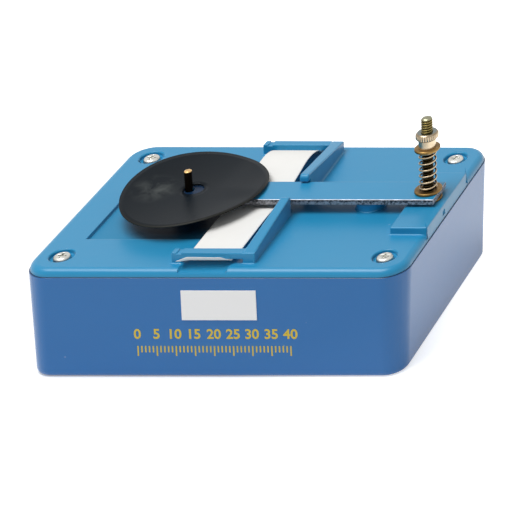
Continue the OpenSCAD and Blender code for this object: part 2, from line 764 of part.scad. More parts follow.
case_base();
front_label();
case_lid();
lid_screws();
adjuster_stud();
pivot_washer();
armature_strip();
striker();
lower_washer();
adjusting_spring();
upper_washer();
thumb_nut();
disc_pin();
carbon_disc();
paper_tape();
coil_bobbin();
coil_winding();
coil_tags();
pole_core();
bias_magnet();
coil_bracket();
bracket_screws();
socket_left();
socket_right();
sleeve_left();
sleeve_right();
socket_nuts();
socket_tags();
lead_left();
lead_right();
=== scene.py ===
"""A ticker timer: a two-part plastic case with a sprung steel strip, a loose carbon disc and a paper tape."""
import math

import bmesh
import bpy
from mathutils import Matrix, Vector, noise


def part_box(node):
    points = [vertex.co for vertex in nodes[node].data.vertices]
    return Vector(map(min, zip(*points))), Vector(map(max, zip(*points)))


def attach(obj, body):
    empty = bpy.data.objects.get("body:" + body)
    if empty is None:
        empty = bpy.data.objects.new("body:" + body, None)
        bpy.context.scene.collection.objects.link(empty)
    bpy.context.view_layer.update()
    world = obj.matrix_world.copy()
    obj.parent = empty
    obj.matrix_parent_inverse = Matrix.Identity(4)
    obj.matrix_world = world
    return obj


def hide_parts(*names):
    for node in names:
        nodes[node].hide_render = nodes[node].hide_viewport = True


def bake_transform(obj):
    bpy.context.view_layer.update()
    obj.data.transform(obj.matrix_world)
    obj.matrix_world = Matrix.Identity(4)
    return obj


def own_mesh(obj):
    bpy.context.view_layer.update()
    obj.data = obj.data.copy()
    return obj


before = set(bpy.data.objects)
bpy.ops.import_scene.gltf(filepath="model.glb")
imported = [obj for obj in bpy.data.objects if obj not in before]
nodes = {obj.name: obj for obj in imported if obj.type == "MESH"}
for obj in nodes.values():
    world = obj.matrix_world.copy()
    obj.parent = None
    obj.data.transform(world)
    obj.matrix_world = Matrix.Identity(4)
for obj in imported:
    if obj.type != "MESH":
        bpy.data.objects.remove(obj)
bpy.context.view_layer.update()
mm = 0.001

# ---- the view ----
# A long lens from the front, well above and to the right of the timer. The photograph's picture plane stands
# nearly square to the front of the case, as with a shift lens, so level lines stay level. Here the camera looks
# straight at the timer, and it is its own depth axis that slants against the picture plane.
turn = math.radians(-1.06)
lift = math.radians(4.78)
roll = math.radians(0.66)
to_right, to_top, to_front = 380.4 * mm, 375.1 * mm, 846.4 * mm
slant_right, slant_up = 0.4523, 0.4596
plain_lens = 217.5

back = Vector((math.sin(turn) * math.cos(lift), -math.cos(turn) * math.cos(lift), math.sin(lift)))
aside = Matrix.Rotation(roll, 3, back) @ Vector((math.cos(turn), math.sin(turn), 0))
upward = back.cross(aside)
sight = back + slant_right * aside + slant_up * upward
lid_top = 30 * mm
stand = Vector((0, 0, lid_top)) + to_right * aside + to_top * upward + to_front * back

camera = bpy.data.objects.new("camera", bpy.data.cameras.new("camera"))
camera.data.sensor_width = 36
camera.data.lens = plain_lens * sight.length
camera.data.clip_start = 0.05
holder = bpy.data.objects.new("camera_holder", None)
for part in (camera, holder):
    bpy.context.scene.collection.objects.link(part)
camera.parent = holder
camera.matrix_parent_inverse = Matrix((
    *((aside[i], upward[i], sight.normalized()[i], stand[i]) for i in range(3)),
    (0, 0, 0, 1),
))
bpy.context.scene.camera = camera
bpy.context.scene.view_settings.view_transform = "Standard"


# ---- the white studio ----
# White paper lies under the timer and the room behind it is white. A large soft lamp hangs over it, a little to
# the left and in front. The paper also has a painted glow, seen directly and in reflections, that grows towards the
# back right and lays a painted reflection on the tray's right side.
def linear(text):
    """A colour written as sRGB hex, as the linear colour that a shader takes."""
    parts = [int(text[i:i + 2], 16) / 255 for i in (1, 3, 5)]
    return (*(c / 12.92 if c <= 0.04045 else ((c + 0.055) / 1.055) ** 2.4 for c in parts), 1.0)


def add_node(tree, kind, settings=(), links=()):
    """Adds a node. Settings fill its properties or sockets, and links join its inputs to other outputs."""
    made = tree.nodes.new("ShaderNode" + kind)
    for name, value in dict(settings).items():
        if isinstance(name, str) and hasattr(made, name):
            setattr(made, name, value)
        else:
            made.inputs[name].default_value = value
    for name, output in dict(links).items():
        tree.links.new(output, made.inputs[name])
    return made


def seen_directly(tree):
    """1 where the camera, a shiny surface or glass looks, and 0 for the light that a surface gathers."""
    path = add_node(tree, "LightPath")
    either = add_node(tree, "Math", {"operation": "MAXIMUM"},
                      {0: path.outputs["Is Camera Ray"], 1: path.outputs["Is Glossy Ray"]})
    return add_node(tree, "Math", {"operation": "MAXIMUM"},
                    {0: either.outputs[0], 1: path.outputs["Is Transmission Ray"]}).outputs[0]


room_light = 0.3
world = bpy.data.worlds.new("studio")
bpy.context.scene.world = world
world.use_nodes = True
world.node_tree.nodes.clear()
strength = add_node(world.node_tree, "MapRange", {"To Min": room_light, "To Max": 1.0},
                    {"Value": seen_directly(world.node_tree)})
room = add_node(world.node_tree, "Background", {"Color": (1, 1, 1, 1)}, {"Strength": strength.outputs[0]})
add_node(world.node_tree, "OutputWorld", {}, {"Surface": room.outputs[0]})

paper_reach = 3.0
paper_sunk = 0.02 * mm
near_glow, far_glow = 0.28, 0.9
glow_start, glow_end = -30 * mm, 60 * mm
bm = bmesh.new()
bmesh.ops.create_grid(bm, x_segments=1, y_segments=1, size=paper_reach)
bmesh.ops.translate(bm, vec=(0, 0, -paper_sunk), verts=bm.verts)
floor = bpy.data.objects.new("floor", bpy.data.meshes.new("floor"))
bm.to_mesh(floor.data)
bm.free()
bpy.context.scene.collection.objects.link(floor)
white_paper = bpy.data.materials.new("white background paper")
white_paper.use_nodes = True
tree = white_paper.node_tree
tree.nodes.clear()
sheet = add_node(tree, "BsdfDiffuse", {"Color": linear("#f0f0f0")})
across = add_node(tree, "VectorMath", {"operation": "DOT_PRODUCT", 1: (1, 1, 0)},
                  {0: add_node(tree, "TexCoord").outputs["Object"]})
# Painted glow: it grows from the front left to the back right, and shows as a brighter painted reflection in the
# tray's right side.
brightness = add_node(tree, "MapRange", {"From Min": glow_start, "From Max": glow_end, "To Min": near_glow,
                                         "To Max": far_glow}, {"Value": across.outputs["Value"]})
glow = add_node(tree, "Emission", {"Color": (1, 1, 1, 1)}, {"Strength": brightness.outputs[0]})
seen_glow = add_node(tree, "MixShader", {}, {0: seen_directly(tree), 2: glow.outputs[0]})
both = add_node(tree, "AddShader", {}, {0: sheet.outputs[0], 1: seen_glow.outputs[0]})
add_node(tree, "OutputMaterial", {}, {"Surface": both.outputs[0]})
floor.data.materials.append(white_paper)

lamp_place, lamp_target = Vector((-0.24, -0.24, 1.0)), Vector((0, 0, 0.02))
lamp = bpy.data.objects.new("overhead lamp", bpy.data.lights.new("overhead lamp", "AREA"))
lamp.data.shape = "SQUARE"
lamp.data.size = 0.6
lamp.data.energy = 8.9
lamp.location = lamp_place
lamp.rotation_mode = "QUATERNION"
lamp.rotation_quaternion = (lamp_target - lamp_place).to_track_quat("-Z", "Y")
bpy.context.scene.collection.objects.link(lamp)


# ---- the tray ----
# The lower half of the case is one moulding in glossy ABS, with drafted walls and rounded corners. The polished
# mould leaves an even colour with a faint ripple and slightly duller patches.
def start_material(name):
    """A new material, its node tree, and the coordinates for its patterns."""
    material = bpy.data.materials.new(name)
    material.use_nodes = True
    tree = material.node_tree
    tree.nodes.clear()
    return material, tree, add_node(tree, "TexCoord").outputs["Object"]


def end_material(material, settings, links):
    """Adds the surface shader, with its settings and links, and the output."""
    surface = add_node(material.node_tree, "BsdfPrincipled", settings, links)
    add_node(material.node_tree, "OutputMaterial", {}, {"Surface": surface.outputs[0]})
    return material


def distance_from_upright(tree, where, foot):
    """How far each point is from the upright line through one point."""
    offset = add_node(tree, "VectorMath", {"operation": "SUBTRACT", 1: foot}, {0: where})
    level = add_node(tree, "VectorMath", {"operation": "MULTIPLY", 1: (1, 1, 0)}, {0: offset.outputs[0]})
    return add_node(tree, "VectorMath", {"operation": "LENGTH"}, {0: level.outputs[0]}).outputs["Value"]


joint_height = 28 * mm


def moulded_plastic(name, colour, dull_colour, gloss, dull, haze, shadowed=None, specular=0.5):
    """A glossy moulding: broad faint patches in colour and gloss, soft ripples, a few specks of dust, and painted
    shade in the joint between tray and lid. It may carry a painted shadow round the upright line through one point."""
    patch_size, ripple_size = 14 * mm, 5 * mm
    dust_size, dust_spacing = 0.4 * mm, 9 * mm
    joint_shade_core, joint_shade_edge = 0.05 * mm, 0.14 * mm
    shadow_core, shadow_edge = 11.78 * mm, 19 * mm
    material, tree, where = start_material(name)
    patches = add_node(tree, "TexNoise", {"Scale": 1 / patch_size, "Detail": 4.0}, {"Vector": where})
    ripples = add_node(tree, "TexNoise", {"Scale": 1 / ripple_size, "Detail": 2.0}, {"Vector": where})
    specks = add_node(tree, "TexVoronoi", {"Scale": 1 / dust_spacing, "Randomness": 1.0}, {"Vector": where})
    dust = add_node(tree, "MapRange", {"From Min": dust_size / dust_spacing, "From Max": 0.0, "To Max": 0.35},
                    {"Value": specks.outputs["Distance"]})
    tint = add_node(tree, "Mix", {"data_type": "RGBA", 6: linear(colour), 7: linear(dull_colour)},
                    {"Factor": patches.outputs["Fac"]})
    height = add_node(tree, "SeparateXYZ", {}, {0: where})
    # Painted shade: a dark line along the joint between tray and lid, where shade falls.
    from_joint = add_node(tree, "Math", {"operation": "SUBTRACT", 1: joint_height}, {0: height.outputs["Z"]})
    off_joint = add_node(tree, "Math", {"operation": "ABSOLUTE"}, {0: from_joint.outputs[0]})
    joint_shade = add_node(tree, "MapRange", {"From Min": joint_shade_edge, "From Max": joint_shade_core, "To Max": 0.8},
                     {"Value": off_joint.outputs[0]})
    darkened = add_node(tree, "Mix", {"data_type": "RGBA", 7: linear("#10243c")},
                     {"Factor": joint_shade.outputs[0], 6: tint.outputs[2]})
    if shadowed:
        # Painted shadow: the colour darkens towards the upright line through the given point, standing for the
        # disc's shadow.
        painted_shadow = add_node(tree, "MapRange", {"interpolation_type": "SMOOTHSTEP", "From Min": shadow_edge,
                                           "From Max": shadow_core, "To Max": 0.94},
                        {"Value": distance_from_upright(tree, where, shadowed)})
        darkened = add_node(tree, "Mix", {"data_type": "RGBA", 7: linear("#050d2e")},
                         {"Factor": painted_shadow.outputs[0], 6: darkened.outputs[2]})
    dusty = add_node(tree, "Mix", {"data_type": "RGBA", 7: linear("#c8dcea")},
                     {"Factor": dust.outputs[0], 6: darkened.outputs[2]})
    shine = add_node(tree, "MapRange", {"To Min": gloss, "To Max": dull}, {"Value": patches.outputs["Fac"]})
    skin = add_node(tree, "Bump", {"Strength": 0.1, "Distance": 0.3 * mm}, {"Height": ripples.outputs["Fac"]})
    return end_material(
        material, {"IOR": 1.5, "Specular IOR Level": specular, "Sheen Weight": haze, "Sheen Roughness": 0.4},
        {"Base Color": dusty.outputs[2], "Roughness": shine.outputs[0], "Normal": skin.outputs[0]})


def even_shading(piece, angle=35):
    """Smooth shading that keeps flat faces flat, and stays sharp past the angle."""
    piece.data.polygons.foreach_set("use_smooth", [True] * len(piece.data.polygons))
    piece.data.set_sharp_from_angle(angle=math.radians(angle))
    weigh = piece.modifiers.new("even shading", "WEIGHTED_NORMAL")
    weigh.keep_sharp = True


def finish_node(node, material, body, edge, steps=3):
    """A merged copy of a CAD node that stands for it. Its sharp edges are rounded, as far as the faces beside
    them leave room."""
    flat_bend, sharp_bend = math.radians(0.5), math.radians(30)
    piece = bpy.data.objects.new(node + "_finished", nodes[node].data.copy())
    bpy.context.scene.collection.objects.link(piece)
    bm = bmesh.new()
    bm.from_mesh(piece.data)
    bmesh.ops.remove_doubles(bm, verts=bm.verts, dist=0.002 * mm)
    bmesh.ops.dissolve_limit(bm, angle_limit=flat_bend, verts=bm.verts, edges=bm.edges)
    share = bm.edges.layers.float.new("bevel_weight_edge")
    bends = {e: e.calc_face_angle(0) for e in bm.edges}
    for e in bm.edges:
        if bends[e] > sharp_bend:
            way = (e.verts[0].co - e.verts[1].co).normalized()
            across = [g.calc_length() for v in e.verts for g in v.link_edges
                      if g != e and bends[g] > flat_bend
                      and abs((g.verts[0].co - g.verts[1].co).normalized().dot(way)) < 0.8]
            e[share] = min(1, 0.4 * min(across, default=edge * 3) / edge)
    bm.to_mesh(piece.data)
    bm.free()
    rounding = piece.modifiers.new("rounded edges", "BEVEL")
    rounding.limit_method = "WEIGHT"
    rounding.width = edge
    rounding.segments = steps
    rounding.use_clamp_overlap = False
    even_shading(piece)
    piece.data.materials.clear()
    piece.data.materials.append(material)
    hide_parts(node)
    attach(piece, body)
    return piece


# Tray and lid are one blue plastic; the tray's copy is painted darker, as painted shade on its walls.
shaded_blue_plastic = moulded_plastic("moulded ABS, mid blue", "#016ab1", "#056eb5", 0.16, 0.24, 0.09)
finish_node("case_base", shaded_blue_plastic, "case", 0.2 * mm)


# ---- the coil and its magnet ----
# The bobbin is a pale nylon moulding wound with enamelled copper wire. It sits round a turned soft-iron core,
# which stands on a sintered magnet and is held down by a zinc-plated bracket and two screws.
def simple_plastic(name, colour, rough):
    """A small moulding, with a fine grain in its gloss."""
    grain_size = 0.6 * mm
    material, tree, where = start_material(name)
    grain = add_node(tree, "TexNoise", {"Scale": 1 / grain_size, "Detail": 3.0}, {"Vector": where})
    shine = add_node(tree, "MapRange", {"To Min": rough - 0.06, "To Max": rough + 0.06},
                     {"Value": grain.outputs["Fac"]})
    skin = add_node(tree, "Bump", {"Strength": 0.15, "Distance": 0.05 * mm}, {"Height": grain.outputs["Fac"]})
    return end_material(material, {"Base Color": linear(colour), "IOR": 1.5},
                        {"Roughness": shine.outputs[0], "Normal": skin.outputs[0]})


def small_metal(name, colour, dull_colour, shine, dull, grain=0.5 * mm, bump=0.12):
    """A small metal piece: blotches where its plating or skin has dulled, and a fine grain."""
    material, tree, where = start_material(name)
    blotches = add_node(tree, "TexNoise", {"Scale": 0.25 / grain, "Detail": 4.0}, {"Vector": where})
    fine = add_node(tree, "TexNoise", {"Scale": 1 / grain, "Detail": 3.0}, {"Vector": where})
    part_dull = add_node(tree, "MapRange", {"From Min": 0.35, "From Max": 0.65},
                         {"Value": blotches.outputs["Fac"]})
    tint = add_node(tree, "Mix", {"data_type": "RGBA", 6: linear(colour), 7: linear(dull_colour)},
                    {"Factor": part_dull.outputs[0]})
    gloss = add_node(tree, "MapRange", {"To Min": shine, "To Max": dull}, {"Value": part_dull.outputs[0]})
    skin = add_node(tree, "Bump", {"Strength": bump, "Distance": 0.05 * mm}, {"Height": fine.outputs["Fac"]})
    return end_material(material, {"Metallic": 1.0}, {"Base Color": tint.outputs[2], "Roughness": gloss.outputs[0],
                                                      "Normal": skin.outputs[0]})


def wound_wire(name, colour, between_turns_shade):
    """Enamelled wire in layers: fine turns one above the other, with painted shade between them."""
    wire = 0.35 * mm
    one_band = 0.314
    material, tree, where = start_material(name)
    turns = add_node(tree, "TexWave", {"wave_type": "BANDS", "bands_direction": "Z", "Scale": one_band / wire,
                                       "Distortion": 0.4, "Detail": 1.0}, {"Vector": where})
    tint = add_node(tree, "Mix", {"data_type": "RGBA", 6: linear(between_turns_shade), 7: linear(colour)},
                    {"Factor": turns.outputs["Fac"]})
    skin = add_node(tree, "Bump", {"Strength": 0.8, "Distance": 0.15 * mm}, {"Height": turns.outputs["Fac"]})
    return end_material(material, {"Metallic": 0.8, "Roughness": 0.28},
                        {"Base Color": tint.outputs[2], "Normal": skin.outputs[0]})


zinc_plate = small_metal("zinc-plated steel", "#dcdcd6", "#b9b9b2", 0.22, 0.42)
tinned_brass = small_metal("tinned brass", "#cdc8b6", "#a9a28b", 0.3, 0.5)
finish_node("coil_bobbin", simple_plastic("moulded nylon, cream", "#e2dcc6", 0.4), "case", 0.2 * mm)
finish_node("coil_winding", wound_wire("enamelled copper wire", "#c06a34", "#4f1f0d"), "case", 0.2 * mm)
finish_node("coil_tags", tinned_brass, "case", 0.08 * mm)
finish_node("pole_core", small_metal("turned soft iron", "#8d9093", "#6a6d70", 0.3, 0.5), "case", 0.2 * mm)
finish_node("bias_magnet", small_metal("sintered magnet", "#4a4c50", "#3a3c40", 0.5, 0.7), "case", 0.2 * mm)
finish_node("coil_bracket", zinc_plate, "case", 0.1 * mm)
finish_node("bracket_screws", zinc_plate, "case", 0.08 * mm, 2)

# ---- the two sockets and their leads ----
# Each socket is a black moulded shell through the back wall with a turned, nickel-plated sleeve in it, held by
# a hexagonal nut. A tag behind each takes a PVC-covered lead, one red and one black, to the coil.
socket_black = simple_plastic("moulded phenolic, black", "#1b1c1e", 0.3)
nickel_sleeve = small_metal("nickel-plated brass", "#d5cfbd", "#b6ae97", 0.16, 0.32)
for side in ("left", "right"):
    finish_node("socket_" + side, socket_black, "case", 0.3 * mm)
    finish_node("sleeve_" + side, nickel_sleeve, "case", 0.15 * mm)
finish_node("socket_nuts", zinc_plate, "case", 0.15 * mm)
finish_node("socket_tags", tinned_brass, "case", 0.08 * mm)
finish_node("lead_left", simple_plastic("PVC covering, red", "#b3231b", 0.36), "case", 0.05 * mm)
finish_node("lead_right", simple_plastic("PVC covering, black", "#18191b", 0.36), "case", 0.05 * mm)

# ---- the lid ----
# The lid is a second moulding of the same blue ABS as the tray, its colour painted lighter and greener as painted
# light on its top. It carries the tape's two guides, the pad under the stud, the boss over the coil's core and the
# pin's boss. The pin's boss and the pocket's floor under the disc are painted dark, a painted shadow of the disc.
pin_low, pin_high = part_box("disc_pin")
boss_height, boss_reach = 4.35 * mm, 6 * mm
pocket_half_width, deepest, shallowest = 14 * mm, 4 * mm, 0.3 * mm
boss_top = Vector(((pin_low.x + pin_high.x) / 2, (pin_low.y + pin_high.y) / 2, lid_top + boss_height))
# The lid's copy of the same plastic is painted lighter and greener, as painted light on its top; the strip's blue
# top uses it too.
lit_blue_plastic = moulded_plastic("moulded ABS, light blue", "#128abb", "#178ebe", 0.3, 0.4, 0.3)
shadowed_plastic = moulded_plastic("moulded ABS, sooted", "#2f88b4", "#338bb6", 0.35, 0.45, 0.0, boss_top, 0.15)
lid = finish_node("case_lid", lit_blue_plastic, "case", 0.35 * mm)
lid.data.materials.append(shadowed_plastic)
# Faces on the pin's boss and the pocket's floor take the copy that carries the painted shadow of the disc.
for face in lid.data.polygons:
    aside_of_pin = face.center - boss_top
    on_boss = aside_of_pin.xy.length < boss_reach
    on_pocket_floor = shallowest < lid_top - face.center.z < deepest and abs(aside_of_pin.x) < pocket_half_width
    if face.normal.z > 0.9 and (on_boss or on_pocket_floor):
        face.material_index = 1

# ---- the case screws ----
# Four zinc-plated pan-head screws with cross slots stand in the sunk seats at the lid's corners.
finish_node("lid_screws", zinc_plate, "case", 0.12 * mm, 2)

# ---- the label and the print under it ----
# A blank white vinyl label is stuck on the front. Under it a plain scale of millimetres, with its numbers, is
# printed on the tray in yellow ink.
white_vinyl = simple_plastic("white vinyl", "#fdfdfc", 0.3)
finish_node("front_label", white_vinyl, "case", 0.04 * mm, 2)
label_low, label_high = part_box("front_label")
label_thickness = 0.2 * mm
lean = math.atan((label_high.y - label_low.y - label_thickness) / (label_high.z - label_low.z))
ink_thickness = 0.03 * mm
yellow_ink = simple_plastic("yellow printing ink", "#dcc030", 0.45)
scale_length = 40
number_every = 5
digits_low, digits_height, thicker_strokes = 10.9 * mm, 2.8 * mm, 0.02
ticks_high, long_tick, short_tick, tick_width = 8.9 * mm, 2.8 * mm, 1.8 * mm, 0.36 * mm


def on_front(x, z):
    """Where a flat drawing stands on the sloping front wall: its own x to the right, y up and z outwards."""
    wall_y = label_high.y + (label_low.z - z) * math.tan(lean)
    return Matrix.Translation((x, wall_y, z)) @ Matrix.Rotation(math.pi / 2 + lean, 4, "X")


bm = bmesh.new()
for step in range(scale_length + 1):
    x = (step - scale_length / 2) * mm
    tall = long_tick if step % number_every == 0 else short_tick
    tick = bmesh.ops.create_cube(bm, size=1)["verts"]
    bmesh.ops.scale(bm, vec=(tick_width, tall, ink_thickness), verts=tick)
    bmesh.ops.translate(bm, vec=(0, -tall / 2, 0), verts=tick)
    bmesh.ops.transform(bm, matrix=on_front(x, ticks_high), verts=tick)
    if step % number_every == 0:
        writing = bpy.data.curves.new("number", "FONT")
        writing.body = str(step)
        writing.extrude = 0.5
        writing.offset = thicker_strokes
        shaped = bpy.data.objects.new("number", writing)
        mesh = bpy.data.meshes.new_from_object(shaped)
        bpy.data.objects.remove(shaped)
        number = bmesh.new()
        number.from_mesh(mesh)
        xs, ys = [v.co.x for v in number.verts], [v.co.y for v in number.verts]
        tall = digits_height / (max(ys) - min(ys))
        bmesh.ops.translate(number, vec=(-(min(xs) + max(xs)) / 2, -min(ys), 0), verts=number.verts)
        bmesh.ops.scale(number, vec=(tall, tall, ink_thickness), verts=number.verts)
        bmesh.ops.transform(number, matrix=on_front(x, digits_low), verts=number.verts)
        number.to_mesh(mesh)
        number.free()
        bm.from_mesh(mesh)
printed = bpy.data.objects.new("printed_scale", bpy.data.meshes.new("printed_scale"))
bm.to_mesh(printed.data)
bm.free()
bpy.context.scene.collection.objects.link(printed)
printed.data.materials.append(yellow_ink)
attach(printed, "case")

# ---- the stud ----
# A steel screw in yellow passivated zinc stands in the pad, its thread bright on the crests with painted shade in
# the grooves, and painted nearly black inside the spring as painted shade. The ridge is one profile spun up the
# core, and it is drawn a little coarser than the real half millimetre for each turn, so that it shows.
stud_low, stud_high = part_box("adjuster_stud")
axis = Vector(((stud_low.x + stud_high.x) / 2, (stud_low.y + stud_high.y) / 2, 0))


def add_piece(name, bm, material, body, replaced=()):
    """Makes a piece of a finished bmesh, which rides on a body and may stand for CAD nodes."""
    bmesh.ops.recalc_face_normals(bm, faces=bm.faces)
    piece = bpy.data.objects.new(name, bpy.data.meshes.new(name))
    bm.to_mesh(piece.data)
    bm.free()
    bpy.context.scene.collection.objects.link(piece)
    piece.data.materials.append(material)
    for node in replaced:
        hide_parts(node)
    if body:
        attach(piece, body)
    return piece


def turn_profile(bm, points, centre, steps):
    """Turns a row of (radius, height) points into a closed ring of faces round an upright axis."""
    verts = [bm.verts.new(centre + Vector((radius, 0, height))) for radius, height in points]
    edges = [bm.edges.new(pair) for pair in zip(verts, verts[1:])]
    bmesh.ops.spin(bm, geom=verts + edges, cent=centre, axis=(0, 0, 1), angle=2 * math.pi, steps=steps,
                   use_merge=True)


thread_pitch = 0.69 * mm
thread_top = stud_high.z - 0.5 * mm
thread_foot = lid_top + 5.2 * mm
crest, root = 1.5 * mm, 1.2 * mm
head_radius, head_height = 2.8 * mm, 2 * mm
bm = bmesh.new()
turn_profile(bm, [(0, stud_low.z), (2.2 * mm, stud_low.z), (head_radius, stud_low.z + 0.5 * mm),
                  (head_radius, stud_low.z + head_height), (root, stud_low.z + head_height), (root, thread_top),
                  (1.36 * mm, stud_high.z - 0.48 * mm), (1.26 * mm, stud_high.z - 0.24 * mm),
                  (0.9 * mm, stud_high.z - 0.07 * mm), (0, stud_high.z)], axis, 48)
ridge = [bm.verts.new(axis + Vector((radius, 0, thread_foot + height))) for radius, height in
         ((root - 0.05 * mm, 0), (root, 0.02 * mm), (crest - 0.04 * mm, 0.19 * mm), (crest, 0.27 * mm),
          (crest, 0.41 * mm), (crest - 0.04 * mm, 0.49 * mm), (root, 0.65 * mm), (root - 0.05 * mm, 0.67 * mm))]
profile = [bm.edges.new(pair) for pair in zip(ridge, ridge[1:] + ridge[:1])]
bm.faces.new(ridge)
turns = math.floor((thread_top - thread_foot) / thread_pitch)
steps_per_turn = 28
spun = bmesh.ops.spin(bm, geom=profile, cent=axis, axis=(0, 0, 1), angle=2 * math.pi * turns,
                      steps=steps_per_turn * turns, dvec=(0, 0, thread_pitch / steps_per_turn))
bmesh.ops.contextual_create(bm, geom=[e for e in spun["geom_last"] if isinstance(e, bmesh.types.BMEdge)])


def passivated_thread(name, colour, groove_shade_colour, spring_shade_height):
    """Yellow passivated zinc, bright on the crests of a thread, with painted shade in its grooves. Below a height
    it is painted nearly black as shade, and it is rubbed paler at the very top."""
    material, tree, where = start_material(name)
    # worn: painted shade at the thread's root, its plain colour at the crest.
    worn = add_node(tree, "MapRange", {"From Min": root, "From Max": crest},
                    {"Value": distance_from_upright(tree, where, axis)})
    spots = add_node(tree, "TexNoise", {"Scale": 1 / (0.7 * mm), "Detail": 3.0}, {"Vector": where})
    uneven = add_node(tree, "Mix", {"data_type": "RGBA", 6: linear(colour), 7: linear("#6d6a42")},
                      {"Factor": spots.outputs["Fac"]})
    tint = add_node(tree, "Mix", {"data_type": "RGBA", 6: linear(groove_shade_colour)},
                    {"Factor": worn.outputs[0], 7: uneven.outputs[2]})
    height = add_node(tree, "SeparateXYZ", {}, {0: where})
    # Painted shade: nearly black below the upper washer, inside the spring.
    spring_shade = add_node(tree, "MapRange", {"From Min": spring_shade_height + 0.5 * mm, "From Max": spring_shade_height,
                                         "To Max": 0.88}, {"Value": height.outputs["Z"]})
    rubbed = add_node(tree, "MapRange", {"From Min": stud_high.z - 0.5 * mm, "From Max": stud_high.z - 0.3 * mm},
                      {"Value": height.outputs["Z"]})
    topped = add_node(tree, "Mix", {"data_type": "RGBA", 7: linear("#93927a")},
                      {"Factor": rubbed.outputs[0], 6: tint.outputs[2]})
    spring_shaded = add_node(tree, "Mix", {"data_type": "RGBA", 7: linear("#1c130a")},
                      {"Factor": spring_shade.outputs[0], 6: topped.outputs[2]})
    return end_material(material, {"Metallic": 1.0, "Roughness": 0.32}, {"Base Color": spring_shaded.outputs[2]})


stud_steel = passivated_thread("yellow passivated steel", "#957d47", "#1f1d10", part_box("upper_washer")[0].z)
stud = add_piece("stud", bm, stud_steel, "case", ["adjuster_stud"])
even_shading(stud, 50)

# ---- the three washers ----
# Brass washers, browned with age: one under the strip, one on it and one on the spring. Each was punched, so
# its rims are soft, and the face has dull brown spots.
aged_brass = small_metal("aged brass", "#997a48", "#664e2d", 0.28, 0.46, 0.9 * mm, 0.2)
finish_node("pivot_washer", aged_brass, "case", 0.2 * mm)
finish_node("lower_washer", aged_brass, "armature", 0.28 * mm)
finish_node("upper_washer", aged_brass, "adjuster", 0.28 * mm)

# ---- the vibrating strip and its striker ----
# A flat bar of steel, painted blue on top and left bare at its sheared edges, which are grey and grainy; its
# rounded corners take a paler steel, a painted highlight. The striker is a round-headed steel rivet near its free
# end.
strip = finish_node("armature_strip", lit_blue_plastic, "armature", 0.13 * mm, 2)
strip_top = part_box("armature_strip")[1].z


def sheared_steel(name):
    """A sheared steel edge: pale, and pitted with dark specks from the shear, most under the burr on top."""
    material, tree, where = start_material(name)
    specks = add_node(tree, "TexNoise", {"Scale": 1 / (0.5 * mm), "Detail": 3.0, "Roughness": 0.6},
                      {"Vector": where})
    height = add_node(tree, "SeparateXYZ", {}, {0: where})
    under_burr = add_node(tree, "MapRange", {"From Min": strip_top - 0.75 * mm, "From Max": strip_top - 0.35 * mm,
                                             "To Max": -0.14}, {"Value": height.outputs["Z"]})
    level = add_node(tree, "Math", {"operation": "ADD"}, {0: specks.outputs["Fac"], 1: under_burr.outputs[0]})
    pale = add_node(tree, "MapRange", {"From Min": 0.36, "From Max": 0.56}, {"Value": level.outputs[0]})
    tint = add_node(tree, "Mix", {"data_type": "RGBA", 6: linear("#303238"), 7: linear("#a6a7ac")},
                    {"Factor": pale.outputs[0]})
    skin = add_node(tree, "Bump", {"Strength": 0.3, "Distance": 0.05 * mm}, {"Height": specks.outputs["Fac"]})
    return end_material(material, {"Metallic": 0.6, "Roughness": 0.45},
                        {"Base Color": tint.outputs[2], "Normal": skin.outputs[0]})


strip.data.materials.append(sheared_steel("sheared steel"))
strip.data.materials.append(small_metal("burnished steel", "#9c9fa8", "#85888f", 0.3, 0.45))
for face in strip.data.polygons:
    face.material_index = 0 if face.normal.z > 0.9 else 1
# The rounded corners take the paler steel: a painted highlight along the edges.
strip.modifiers["rounded edges"].material = 2
finish_node("striker", small_metal("riveted steel", "#b7b9bb", "#8c8f92", 0.25, 0.4), "armature", 0.1 * mm)

# ---- the spring ----
# Round spring steel wire, wound right-handed in seven turns that stay clear of the thread. Its two end turns are
# closed up and lie flat on the washers.
spring_low, spring_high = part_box("adjusting_spring")
wire = 0.5 * mm
wound_radius = (spring_high.x - spring_low.x - wire) / 2
active_turns, end_turns = 5.4, 0.8
closed_pitch = 1.05 * wire
steps_per_turn = 26
bm = bmesh.new()
ring = bmesh.ops.create_circle(bm, segments=12, radius=wire / 2, cap_ends=True)["verts"]
turn_upright = Matrix.Translation(axis + Vector((wound_radius, 0, spring_low.z + wire / 2)))
bmesh.ops.transform(bm, matrix=turn_upright @ Matrix.Rotation(math.pi / 2, 4, "X"), verts=ring)
rise = spring_high.z - spring_low.z - wire
end_rise = closed_pitch * end_turns
section = bm.edges[:]
for turns, climb in ((end_turns, end_rise), (active_turns, rise - 2 * end_rise), (end_turns, end_rise)):
    steps = round(turns * steps_per_turn)
    wound = bmesh.ops.spin(bm, geom=section, cent=axis, axis=(0, 0, 1), angle=2 * math.pi * turns, steps=steps,
                           dvec=(0, 0, climb / steps))
    section = [e for e in wound["geom_last"] if isinstance(e, bmesh.types.BMEdge)]
bmesh.ops.contextual_create(bm, geom=section)


